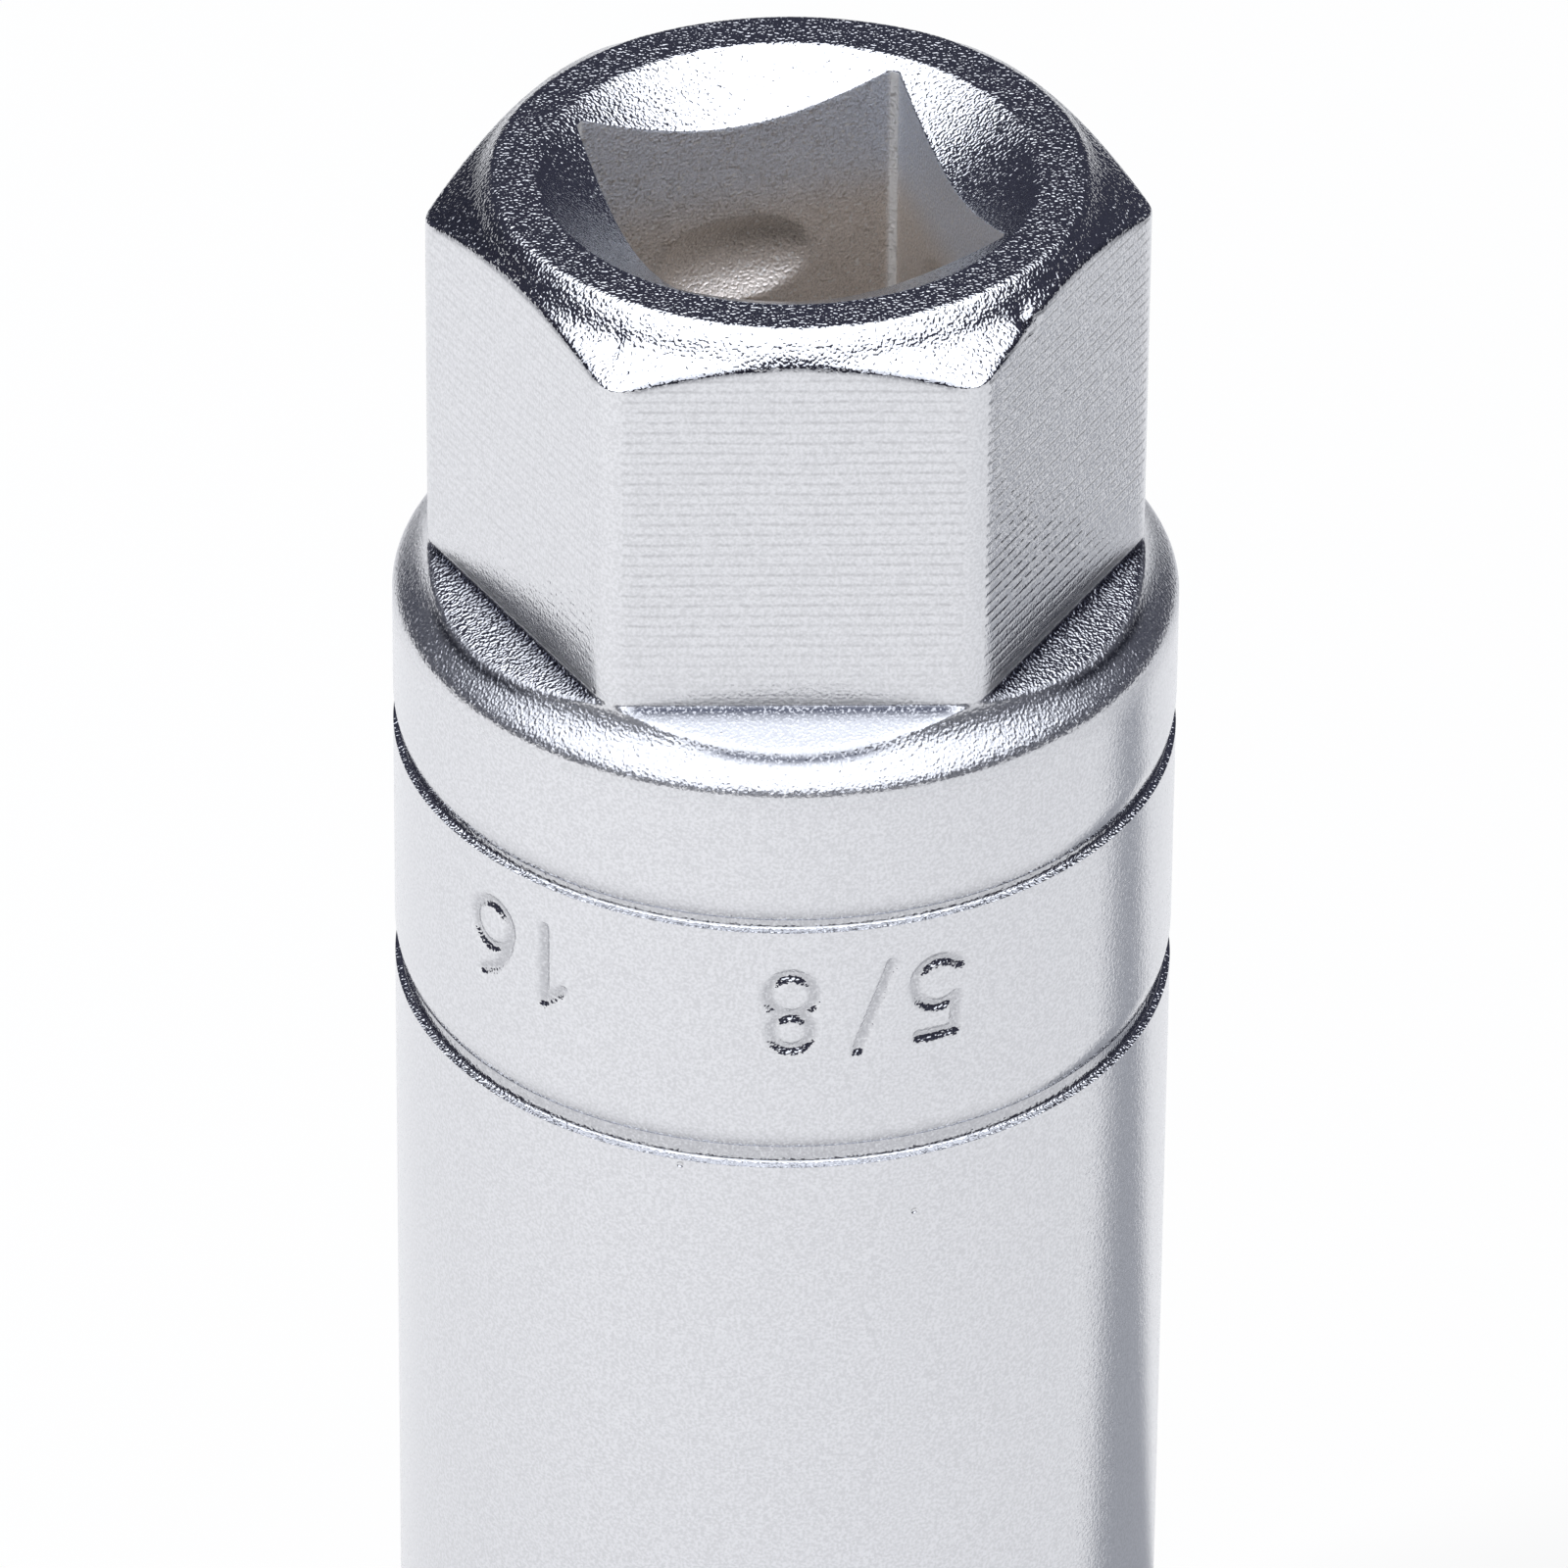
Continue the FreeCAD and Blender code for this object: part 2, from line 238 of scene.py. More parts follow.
@dataclass(frozen=True)
class SizeMark:
    """A plain size number cut into the band, read with the drive end down."""

    numerals: tuple[Numeral, ...]
    middle_azimuth: float
    middle_height: float = 44.1
    digit_height: float = 2.5
    advance: float = 0.86
    groove_depth: float = 0.11
    groove_half_floor: float = 0.05
    groove_half_width: float = 0.27

    def width(self) -> float:
        """Width of the whole mark, in digit heights."""
        return len(self.numerals) * self.advance - 0.25

    def width_degrees(self, radius: float) -> float:
        """Width of the whole mark as an angle about the axis, in degrees."""
        return math.degrees(self.width() * self.digit_height / radius)

    def depth(self, azimuth: np.ndarray, height: np.ndarray, radius: float) -> np.ndarray:
        """Depth of the grooves: deepest within the half floor, none beyond the half width.

        Args:
            azimuth: Azimuths in radians, one for each column.
            height: Heights, rows by columns.
            radius: Radius of the band.

        Returns:
            Depths, rows by columns.
        """
        turned = turned_from(azimuth, math.radians(self.middle_azimuth), 2 * math.pi)
        across = -turned * radius / self.digit_height + self.width() / 2 + 0 * height
        up = (self.middle_height - height) / self.digit_height + 0.5
        strokes = [
            stroke + np.array([place * self.advance, 0.0])
            for place, numeral in enumerate(self.numerals)
            for stroke in numeral.strokes()
        ]
        away = distance_to_strokes(across, up, strokes) * self.digit_height
        return self.groove_depth * (
            1 - smooth_step(self.groove_half_floor, self.groove_half_width, away)
        )


@dataclass(frozen=True)
class Nick:
    """A small knock in an edge: a bell-shaped dent of this radius and depth."""

    azimuth: float
    height: float
    size: float
    deepest: float

    def depth(self, azimuth: np.ndarray, height: np.ndarray, radius: np.ndarray) -> np.ndarray:
        """Depth of the dent at each point.

        Formula: deepest * exp(-(d / size)^2), with d the distance from the dent's middle.

        Args:
            azimuth: Azimuths in radians, one for each column.
            height: Heights, rows by columns.
            radius: Radii of the surface, rows by columns.

        Returns:
            Depths, rows by columns.
        """
        turned = turned_from(azimuth, math.radians(self.azimuth), 2 * math.pi)
        away = np.hypot(turned * radius, height - self.height)
        return self.deepest * bell(away, self.size)


@dataclass(frozen=True)
class TurnedRing:
    """A shallow ring turned into the body: its ledge's height, its upper wall's and its depth."""

    foot: float
    head: float
    roll: float
    deepest: float
    roll_share: float = 0.75
    wall_height: float = 0.07
    ledge_reach: float = 0.03
    ledge_round: float = 0.08
    # Painted shade: darker down the roll-off and a little on the groove's floor.
    roll_painted_shade: float = 0.5
    floor_painted_shade: float = 0.27

    def section(self, height: np.ndarray) -> tuple[np.ndarray, np.ndarray]:
        """Depth of the ring at each height, and the painted shade in it.

        Formula: a roll-off, roll share * depth * t^2 with t from 0 to 1, a steep upper wall, a
        level floor and a square ledge whose edge is a quarter round. Painted shade darkens the
        plate as t^3 down the roll-off and a little on the groove's floor.

        Args:
            height: Heights, rows by columns.

        Returns:
            Depths and painted shade, rows by columns.
        """
        t = np.clip((self.head + self.roll - height) / self.roll, 0.0, 1.0)
        wall = smooth_step(0.0, 1.0, (self.head - height) / self.wall_height)
        wall = (1 - self.roll_share) * wall
        round_off = np.clip((self.foot + self.ledge_reach - height) / self.ledge_round, 0.0, 1.0)
        ledge = np.where(round_off < 1, np.sqrt(1 - round_off ** 2) ** 0.8, 0.0)
        depth = self.deepest * (self.roll_share * t ** 2 + wall) * ledge
        floor = smooth_step(0.0, 0.08, self.head - height)
        # Painted shade down the roll-off and on the groove's floor, kept off the ledge.
        dull = self.roll_painted_shade * t ** 3 * (1 - floor) + self.floor_painted_shade * floor
        return depth, dull * (height > self.foot + 0.02)


class FlatCut(Enum):
    """Azimuth of each milled flat, and how strongly the cutter's level lines show on it, as bumps
    and as painted shade.
    """

    FRONT = (-107.1, 0.9)
    RIGHT = (-47.1, 2.7)
    REAR_RIGHT = (12.9, 1.0)
    REAR = (72.9, 0.7)
    REAR_LEFT = (132.9, 0.9)
    LEFT = (-167.1, 0.5)


@dataclass
class SocketBody:
    """The steel body as one closed surface: azimuth one way, the turned section the other way.

    Millimetres. The section runs up the outside, over the drive face, down through the square,
    the web hole, the bore, the sleeve's seat and the plug hexagon, and back under the open end.
    """

    length: float
    radius: float
    columns: int = 400
    mouth_edge: float = 0.8
    flat_apothem: float = 9.0
    flat_azimuth: float = 12.9
    land_radius: float = 10.235
    shelf_root: float = 52.9
    shelf_slope: float = 19.0
    shelf_root_blend: float = 0.3
    flat_blend: float = 0.21
    shoulder_foot: float = 51.5
    shoulder_height: float = 1.0
    shoulder_root_blend: float = 0.5
    shoulder_edge_blend: float = 0.26
    mouth_blend: float = 0.25
    face_ring_radius: float = 8.45
    face_ring_slope: float = 56.5
    face_ring_blend: float = 0.2
    chamfer_slope: float = 32.0
    chamfer_drop: float = 0.275
    chamfer_offset: float = 0.45
    chamfer_offset_azimuth: float = 55.6
    chamfer_blend: float = 0.1
    rings: tuple[TurnedRing, ...] = (
        TurnedRing(foot=46.85, head=47.17, roll=0.85, deepest=0.19),
        TurnedRing(foot=38.8, head=39.38, roll=0.8, deepest=0.21),
    )
    square_apothem: float = 4.8
    square_blend: float = 0.06
    square_corner: float = 6.64
    square_corner_blend: float = 0.05
    square_floor: float = 53.0
    countersink_radius: float = 7.05
    countersink_slope: float = 30.0
    detent_drop: float = 5.7
    detent_height: float = 2.8
    detent_depth: float = 0.52
    detent_blend: float = 0.03
    detent_margin: float = 0.05
    web_hole_radius: float = 4.5
    bore_radius: float = 8.0
    bore_end: float = 50.0
    bore_end_slope: float = 30.0
    seat: Span = (22.0, 36.0)
    seat_depth: float = 0.8
    plug_apothem: float = 8.1
    plug_depth: float = 17.0
    plug_blend: float = 0.25
    lead_in_radius: float = 9.6
    lead_in_slope: float = 30.0
    marks: tuple[SizeMark, ...] = (
        SizeMark((Numeral.ONE, Numeral.SIX), -150.0),
        SizeMark((Numeral.FIVE, Numeral.BAR, Numeral.EIGHT), -96.0),
    )
    grain_on_walls: float = 0.36
    grain_by_cut: float = 0.18
    grain_in_hollow: float = 0.8
    low_grain_share: float = 0.8
    shelf_gloss: float = 0.8
    # Painted shade in the size marks' grooves.
    mark_painted_shade: float = 0.3
    # Painted shade along the flats' crests, roots and shelf edges, and on one side of the chamfer.
    crest_painted_shade: float = 0.62
    root_painted_shade: float = 0.96
    shelf_edge_painted_shade: float = 0.85
    side_painted_shade: float = 0.45
    painted_shade_azimuth: float = 105.0
    nicks: tuple[Nick, ...] = (
        Nick(-62.4, 64.1, 0.24, 0.22),
        Nick(-59.6, 63.95, 0.16, 0.12),
        Nick(-140.0, 64.0, 0.2, 0.1),
        Nick(24.0, 63.9, 0.3, 0.14),
    )
    milled_above: Span = (53.1, 53.4)
    shelf_below: Span = (52.85, 53.0)
    soft_from: Span = (50.6, 51.3)
    soft_up_to: Span = (52.6, 54.4)
    full_grain_above: Span = (52.0, 55.0)
    lower_rows: tuple[tuple[float, int], ...] = (
        (0.4, 6), (1.4, 6),
        (38.5, 2), (38.7, 7), (38.85, 3), (39.3, 5), (39.42, 8),
        (40.2, 2), (42.42, 38), (45.78, 2),
        (46.6, 2), (46.75, 7), (46.9, 2), (47.1, 5), (47.21, 8),
        (48.05, 3), (51.3, 9),
    )

    def azimuths(self) -> np.ndarray:
        """Columns of the grid, in radians, gathered at the flats' edges, corners and marks.

        Formula: the columns are spaced evenly along the running sum of a density, which is one
        plus a bell, exp(-(d / width)^2), for each place that needs more of them.

        Returns:
            Azimuths in radians.
        """
        turn = np.linspace(-180.0, 180.0, 14401)

        def bells(first: float, step: float, width: float) -> np.ndarray:
            """Bells at evenly spaced azimuths, one of them the first."""
            return bell(turned_from(turn, first, step), width)

        edge = math.degrees(math.acos(self.flat_apothem / self.land_radius))
        density = 1.0 + 5.0 * bells(self.flat_azimuth + edge, 60.0, 0.9)
        density += 5.0 * bells(self.flat_azimuth - edge, 60.0, 0.9)
        density += 4.0 * bells(45.0, 90.0, 2.2) + 0.6 * bells(0.0, 60.0, 3.0)
        density += 0.5 * np.exp(-(((turn + 100.0) / 60.0) ** 4))
        for mark in self.marks:
            off = (turn - mark.middle_azimuth) / (0.6 * mark.width_degrees(self.radius))
            density += 4.0 * np.exp(-(off ** 4))
        total = np.concatenate([[0.0], np.cumsum((density[1:] + density[:-1]) / 2)])
        even = np.linspace(0.0, total[-1], self.columns, endpoint=False)
        return np.radians(np.interp(even, total, turn))

    def off_flat(self, azimuth: np.ndarray) -> np.ndarray:
        """Angle from each azimuth to the middle of the nearest flat, in radians."""
        return turned_from(azimuth, math.radians(self.flat_azimuth), math.pi / 3)

    def chamfer_shift(self, azimuth: np.ndarray) -> np.ndarray:
        """How much further out the off-centre chamfer lies along each azimuth."""
        return self.chamfer_offset * np.cos(azimuth - math.radians(self.chamfer_offset_azimuth))

    def turned_radius(self, azimuth: np.ndarray, height: np.ndarray) -> np.ndarray:
        """Radius of the turned outside at each height, before the flats are milled.

        Formula: the plain body's radius, held down by the mouth's chamfer and by the shoulder,
        which falls at about 45 degrees to the land, and above that by the drive end's chamfer, a
        cone out of which the steep-sided face ring stands.

        Args:
            azimuth: Azimuths in radians, one for each column.
            height: Heights, rows by columns or one for each column.

        Returns:
            The radius at each height.
        """
        drop = self.radius - self.land_radius
        shoulder = self.radius - (height - self.shoulder_foot) * drop / self.shoulder_height
        shoulder = smooth_most(shoulder, self.land_radius, self.shoulder_root_blend)
        outside = smooth_least(self.radius, shoulder, self.shoulder_edge_blend)
        outside = smooth_least(outside, self.radius - self.mouth_edge + height, self.mouth_blend)
        below = self.length - height
        ring = self.face_ring_radius + below / math.tan(math.radians(self.face_ring_slope))
        cone = (below - self.chamfer_drop) / math.tan(math.radians(self.chamfer_slope))
        cone = self.face_ring_radius + cone + self.chamfer_shift(azimuth)
        drive_end = smooth_most(ring, cone, self.face_ring_blend)
        return smooth_least(outside, drive_end, self.chamfer_blend)

    def milled_radius(self, off: np.ndarray, height: np.ndarray) -> np.ndarray:
        """Radius at which the milled flat and its shelf lie.

        Formula: (apothem + max(0, (root - z) / tan(slope))) / cos(off), with a soft root.

        Args:
            off: Angle of each column from the middle of its flat, in radians.
            height: Heights, rows by columns or one for each column.

        Returns:
            The radius at each height.
        """
        run_out = (self.shelf_root - height) / math.tan(math.radians(self.shelf_slope))
        shelf = smooth_most(run_out, 0.0, self.shelf_root_blend)
        return (self.flat_apothem + shelf) / np.cos(off)

    def ring_section(self, height: np.ndarray) -> tuple[np.ndarray, np.ndarray]:
        """Depth of all the turned rings at each height, and the painted shade in them.

        Formula: the sum over the rings of what each one's own section gives.

        Args:
            height: Heights, rows by columns.

        Returns:
            Depths and painted shade, rows by columns.
        """
        depth, dull = np.zeros_like(height), np.zeros_like(height)
        for ring in self.rings:
            more_depth, more_painted_shade = ring.section(height)
            depth += more_depth
            dull += more_painted_shade
        return depth, dull

    def chamfer_foot(self, azimuth: np.ndarray) -> np.ndarray:
        """Height at which the chamfer or the face ring's side meets the flat or the land.

        Formula: length - min(run * tan(ring's slope), drop + (run - shift) * tan(chamfer's
        slope)), where the run goes from the face ring's edge out to the flat or the land.

        Args:
            azimuth: Azimuths in radians, one for each column.

        Returns:
            The height in each column.
        """
        wall = np.minimum(self.flat_apothem / np.cos(self.off_flat(azimuth)), self.land_radius)
        run = wall - self.face_ring_radius
        ring = run * math.tan(math.radians(self.face_ring_slope))
        cone = (run - self.chamfer_shift(azimuth)) * math.tan(math.radians(self.chamfer_slope))
        return self.length - np.minimum(ring, self.chamfer_drop + cone)

    def shelf_foot(self, azimuth: np.ndarray) -> np.ndarray:
        """Height at which each shelf runs out through the shoulder.

        Formula: the height where the milled radius equals the turned one, found by halving the
        span between the shoulder's foot and the shelf's root thirty times.

        Args:
            azimuth: Azimuths in radians, one for each column.

        Returns:
            The height in each column.
        """
        off = self.off_flat(azimuth)
        low = np.full_like(azimuth, self.shoulder_foot)
        high = np.full_like(azimuth, self.shelf_root)
        for _ in range(30):
            middle = (low + high) / 2
            inside = self.milled_radius(off, middle) < self.turned_radius(azimuth, middle)
            low, high = np.where(inside, low, middle), np.where(inside, middle, high)
        return high

    def outside_rows(self, azimuth: np.ndarray) -> np.ndarray:
        """The outside, from the mouth's chamfer up to the drive end's chamfer.

        Formula: the turned radius, cut by the flats and shelves, less the depths of the rings,
        the size marks and the nicks. The rows gather at the mouth, the rings, the size marks,
        the shelves' edges and roots and the crests of the flats.

        Args:
            azimuth: Azimuths in radians, one for each column.

        Returns:
            Rows by columns by (radius, height).
        """
        crest = self.chamfer_foot(azimuth)
        shelf = np.minimum(self.shelf_foot(azimuth), self.shelf_root - 0.3)
        height = levels([
            *self.lower_rows,
            (shelf - 0.4, 12), (shelf + 0.12, 3),
            (self.shelf_root - 0.1, 8), (self.shelf_root + 0.3, 4),
            (crest - 0.8, 3), (crest - 0.2, 10), (crest + 0.13, 7),
            (self.length - 0.2, 0),
        ], len(azimuth))
        turned = self.turned_radius(azimuth, height)
        off = self.off_flat(azimuth)
        radius = smooth_least(turned, self.milled_radius(off, height), self.flat_blend)
        radius = radius - self.ring_section(height)[0]
        for mark in self.marks:
            radius = radius - mark.depth(azimuth, height, self.radius)
        for nick in self.nicks:
            radius = radius - nick.depth(azimuth, height, radius)
        return np.stack([radius, height], axis=-1)

    def square_radius(self, azimuth: np.ndarray) -> np.ndarray:
        """The drive square along each azimuth: four walls and a narrow flat in each corner.

        Formula: the lesser of the square's wall and corner / cos(45 degrees - |off|), where off is
        the angle from the middle of the nearest wall.

        Args:
            azimuth: Azimuths in radians, one for each column.

        Returns:
            The distance of the wall along each azimuth.
        """
        walls = polygon_radius(azimuth, self.square_apothem, 4, 0.0, self.square_blend)
        off = turned_from(azimuth, 0.0, math.pi / 2)
        corner = self.square_corner / np.cos(math.pi / 4 - np.abs(off))
        return smooth_least(walls, corner, self.square_corner_blend)

    def corner_share(self, azimuth: np.ndarray) -> np.ndarray:
        """One on the narrow flats in the square's corners, zero elsewhere.

        Formula: a smooth step down at half the narrow flat's width, apothem * sqrt(2) - corner,
        from its middle.

        Args:
            azimuth: Azimuths in radians, one for each column.

        Returns:
            The share in each column.
        """
        off = turned_from(azimuth, 0.0, math.pi / 2)
        half = self.square_apothem * math.sqrt(2) - self.square_corner
        away = self.square_corner * np.tan(math.pi / 4 - np.abs(off))
        return 1 - smooth_step(half - 0.04, half + 0.04, away)

    def countersink_foot(self, azimuth: np.ndarray) -> np.ndarray:
        """Height at which the countersink meets the drive square's wall."""
        run = self.countersink_radius - self.square_radius(azimuth)
        return self.length - run * math.tan(math.radians(self.countersink_slope))

    def drive_end_rows(self, azimuth: np.ndarray, last: np.ndarray) -> np.ndarray:
        """The raised face ring, the countersink and the square down to its floor.

        Formula: straight sides with rounded corners down to the square's mouth. In the square
        the ball's groove is a shallow arc, depth * (1 - d^2) with d from -1 to 1 up the wall,
        which cuts only the middles of the walls.

        Args:
            azimuth: Azimuths in radians, one for each column.
            last: The outside's last row, as (radius, height) in every column.

        Returns:
            Rows by columns by (radius, height).
        """
        square, junction = self.square_radius(azimuth), self.countersink_foot(azimuth)
        count = len(azimuth)
        rim = last[:, 0] - (self.length - last[:, 1])
        top = rounded_run([
            ProfileCorner(last[:, 0], last[:, 1]),
            ProfileCorner(rim, self.length, 0.14, 6),
            ProfileCorner(self.countersink_radius, self.length, 0.10, 5),
            ProfileCorner(square, junction, 0.08, 5),
            ProfileCorner(square, self.square_floor),
        ], count)
        middle = self.length - self.detent_drop
        half = self.detent_height / 2
        height = levels([
            (junction - 0.12, 5),
            (middle + half + self.detent_margin, 22),
            (middle - half - self.detent_margin, 4),
            (self.square_floor + 0.3, 0),
        ], count)
        hollow = self.detent_depth * (1 - ((height - middle) / half) ** 2)
        groove = self.square_apothem + hollow
        wall = smooth_most(square + 0 * height, groove, self.detent_blend)
        return np.concatenate([top, np.stack([wall, height], axis=-1)])

    def inside_rows(self, azimuth: np.ndarray, last: np.ndarray) -> np.ndarray:
        """From the square's floor through the web, bore and plug hexagon to the open end.

        Formula: straight sides with rounded corners. The hexagon's lead-in is a cone, so its
        height is (lead-in radius - wall) * tan(slope).

        Args:
            azimuth: Azimuths in radians, one for each column.
            last: The drive end's last row, as (radius, height) in every column.

        Returns:
            Rows by columns by (radius, height).
        """
        square = self.square_radius(azimuth)
        plug = polygon_radius(azimuth, self.plug_apothem, 6, 30.0, self.plug_blend)
        seat_radius = self.bore_radius + self.seat_depth
        bore_end_rise = math.tan(math.radians(self.bore_end_slope))
        fall = (self.bore_radius - self.web_hole_radius) * bore_end_rise
        lead_in = (self.lead_in_radius - plug) * math.tan(math.radians(self.lead_in_slope))
        outer = self.radius - self.mouth_edge
        return rounded_run([
            ProfileCorner(last[:, 0], last[:, 1]),
            ProfileCorner(square, self.square_floor, 0.25),
            ProfileCorner(self.web_hole_radius, self.square_floor, 0.15, 3),
            ProfileCorner(self.web_hole_radius, self.bore_end, 0.15, 3),
            ProfileCorner(self.bore_radius, self.bore_end - fall, 0.3, 3),
            ProfileCorner(self.bore_radius, self.seat[1], 0.1, 3),
            ProfileCorner(seat_radius, self.seat[1], 0.1, 2),
            ProfileCorner(seat_radius, self.seat[0], 0.1, 2),
            ProfileCorner(self.bore_radius, self.seat[0], 0.1, 3),
            ProfileCorner(self.bore_radius, self.plug_depth, 0.1, 3),
            ProfileCorner(plug, self.plug_depth, 0.1, 2),
            ProfileCorner(plug, lead_in, 0.15),
            ProfileCorner(self.lead_in_radius, 0.0, 0.12),
            ProfileCorner(outer, 0.0, 0.18),
            ProfileCorner(outer + 0.4, 0.4),
        ], len(azimuth))

    def edge_shade(self, azimuth: np.ndarray, height: np.ndarray) -> np.ndarray:
        """Painted shade along each flat's crest, its root and its shelf's outer edge.

        Formula: a bell, exp(-((z - line) / width)^2), for each line, which ends short of the
        flat's corners. One side of the drive end's chamfer gets painted shade too.

        Args:
            azimuth: Azimuths in radians, one for each column.
            height: Heights, rows by columns.

        Returns:
            Painted shade from 0 to 1, rows by columns.
        """
        off = np.abs(np.degrees(self.off_flat(azimuth)))
        wide, short = 1 - smooth_step(25.0, 28.0, off), 1 - smooth_step(9.0, 19.0, off)
        crest = self.chamfer_foot(azimuth)
        shelf_edge = self.shelf_foot(azimuth) - 0.22
        # Painted shade on one side of the drive end's chamfer, above its crest.
        side = smooth_step(-0.3, 0.3, np.cos(azimuth - math.radians(self.painted_shade_azimuth)))
        side = self.side_painted_shade * side * smooth_step(crest + 0.02, crest + 0.1, height)
        side = side * (1 - smooth_step(self.length - 0.12, self.length - 0.03, height))
        # Painted shade in dark lines along the crest, the shelf's root and the shelf's outer edge.
        lines = (
            self.crest_painted_shade * wide * bell(height - crest + 0.06, 0.1)
            + self.root_painted_shade * wide * bell(height - self.shelf_root, 0.12)
            + self.shelf_edge_painted_shade * short * bell(height - shelf_edge, 0.12)
        )
        return np.maximum(lines, side)

    def cut_strength(self, azimuth: np.ndarray) -> np.ndarray:
        """How strongly the cutter's lines show along each azimuth.

        Formula: the strength of the flat whose middle is within 30 degrees.

        Args:
            azimuth: Azimuths in radians, one for each column.

        Returns:
            The strength in each column.
        """
        strength = np.zeros_like(azimuth)
        for cut in FlatCut:
            middle, power = cut.value
            near = np.abs(turned_from(np.degrees(azimuth), middle, 360.0)) <= 30.0
            strength = np.where(near, power, strength)
        return strength

    def finish_marks(self, azimuth: np.ndarray, section: np.ndarray,
                     outside: int) -> dict[str, np.ndarray]:
        """What the finish reads at each point.

        "milled" is how strongly the cutter's lines show, "painted_shade" how much painted shade
        darkens the plate, "softened" how soft its gloss is and "blasted" how deep its grain is.
        "hollow" marks the drive hole, the bore and the plug hexagon, and "corner" the drive
        square's narrow flats.

        Args:
            azimuth: Azimuths in radians, one for each column.
            section: Rows by columns by (radius, height).
            outside: Number of rows on the outside, which come first.

        Returns:
            Numbers for each point, by attribute name.
        """
        radius, height = section[..., 0], section[..., 1]
        on_outside = (np.arange(len(section)) < outside)[:, None]
        off = self.off_flat(azimuth)
        cut_depth = self.turned_radius(azimuth, height) - self.milled_radius(off, height)
        milled = smooth_step(0.02, 0.06, cut_depth) * smooth_step(*self.milled_above, height)
        milled = milled * self.cut_strength(azimuth) * on_outside
        painted_shade = self.ring_section(height)[1] + self.edge_shade(azimuth, height)
        # Painted shade in the size marks' grooves, strongest where they are deepest.
        for mark in self.marks:
            depth = mark.depth(azimuth, height, self.radius)
            painted_shade = painted_shade + self.mark_painted_shade * depth / mark.groove_depth
        on_shelf = smooth_step(0.0, 0.1, cut_depth)
        on_shelf = on_shelf * (1 - smooth_step(*self.shelf_below, height))
        softened = smooth_step(*self.soft_from, height)
        softened = softened * (1 - smooth_step(*self.soft_up_to, height))
        softened = softened * (1 - self.shelf_gloss * on_shelf)
        sunk = height < self.countersink_foot(azimuth) - 0.04
        sunk = sunk & (radius < self.plug_apothem + self.seat_depth)
        hollow = (sunk & ~on_outside).astype(float)
        rise, run = np.gradient(height, axis=0), np.gradient(radius, axis=0)
        upward = -run / np.maximum(np.hypot(rise, run), 1e-9)
        share = self.low_grain_share
        share = share + (1 - share) * smooth_step(*self.full_grain_above, height)
        blasted = smooth_step(0.1, 0.5, upward) * (1 - self.grain_on_walls) * share
        blasted = np.maximum(self.grain_on_walls + blasted, self.grain_by_cut * milled)
        return {
            "milled": milled,
            "painted_shade": painted_shade * on_outside,
            "softened": softened * on_outside,
            "corner": self.corner_share(azimuth) * hollow,
            "hollow": hollow,
            "blasted": np.maximum(blasted, self.grain_in_hollow * hollow),
        }

    def build(self) -> bpy.types.Object:
        """Works the surface out and makes it one mesh.

        Returns:
            The body, with the attributes that its finish reads.
        """
        azimuth = self.azimuths()
        outside = self.outside_rows(azimuth)
        drive = self.drive_end_rows(azimuth, outside[-1])
        inside = self.inside_rows(azimuth, drive[-1])
        section = np.concatenate([outside, drive, inside])
        marks = self.finish_marks(azimuth, section, len(outside))
        return turned_piece("steel_body", azimuth, section, marks)

    def dress(self, piece: bpy.types.Object) -> None:
        """Plates the body and ties it to the frame."""
        finish_and_tie(piece, SatinChrome().material(), "socket_body")


def turned_piece(name: str, azimuth: np.ndarray, section: np.ndarray,
                 marks: dict[str, np.ndarray]) -> bpy.types.Object:
    """A closed mesh from a turned section that goes right round and meets itself both ways.

    Formula: each point is (radius * cos(azimuth), radius * sin(azimuth), height). Its normal is
    the sum of its four quads' area vectors, so wide faces stay flat up to the narrow rows that
    round an edge.

    Args:
        name: Name of the piece.
        azimuth: Azimuths in radians, one for each column.
        section: Rows by columns by (radius, height), in millimetres.
        marks: Numbers for each point, by attribute name.

    Returns:
        The piece, linked to the scene.
    """
    radius, height = section[..., 0], section[..., 1]
    points = np.stack([radius * np.cos(azimuth), radius * np.sin(azimuth), height], -1) * MM
    rows, columns = points.shape[:2]
    index = np.arange(rows * columns).reshape(rows, columns)
    right, up = np.roll(index, -1, axis=1), np.roll(index, -1, axis=0)
    quads = np.stack([index, right, np.roll(right, -1, axis=0), up], axis=-1).reshape(-1, 4)
    flat_points = points.reshape(-1, 3)
    mesh = bpy.data.meshes.new(name)
    mesh.vertices.add(len(flat_points))
    mesh.vertices.foreach_set("co", flat_points.ravel())
    mesh.loops.add(quads.size)
    mesh.loops.foreach_set("vertex_index", quads.ravel())
    mesh.polygons.add(len(quads))
    mesh.polygons.foreach_set("loop_start", np.arange(0, quads.size, 4))
    mesh.update(calc_edges=True)
    mesh.polygons.foreach_set("use_smooth", np.ones(len(quads), dtype=bool))
    corner = [flat_points[quads[:, i]] for i in range(4)]
    area = np.cross(corner[2] - corner[0], corner[3] - corner[1]).reshape(rows, columns, 3)
    area = area + np.roll(area, 1, axis=0)
    area = area + np.roll(area, 1, axis=1)
    area /= np.maximum(np.linalg.norm(area, axis=-1, keepdims=True), 1e-20)
    for key, values in marks.items():
        attribute = mesh.attributes.new(key, "FLOAT", "POINT")
        attribute.data.foreach_set("value", values.astype(np.float32).ravel())
    mesh.normals_split_custom_set_from_vertices(area.reshape(-1, 3))
    piece = bpy.data.objects.new(name, mesh)
    bpy.context.scene.collection.objects.link(piece)
    log.info("%s: %d quads", name, len(quads))
    return piece


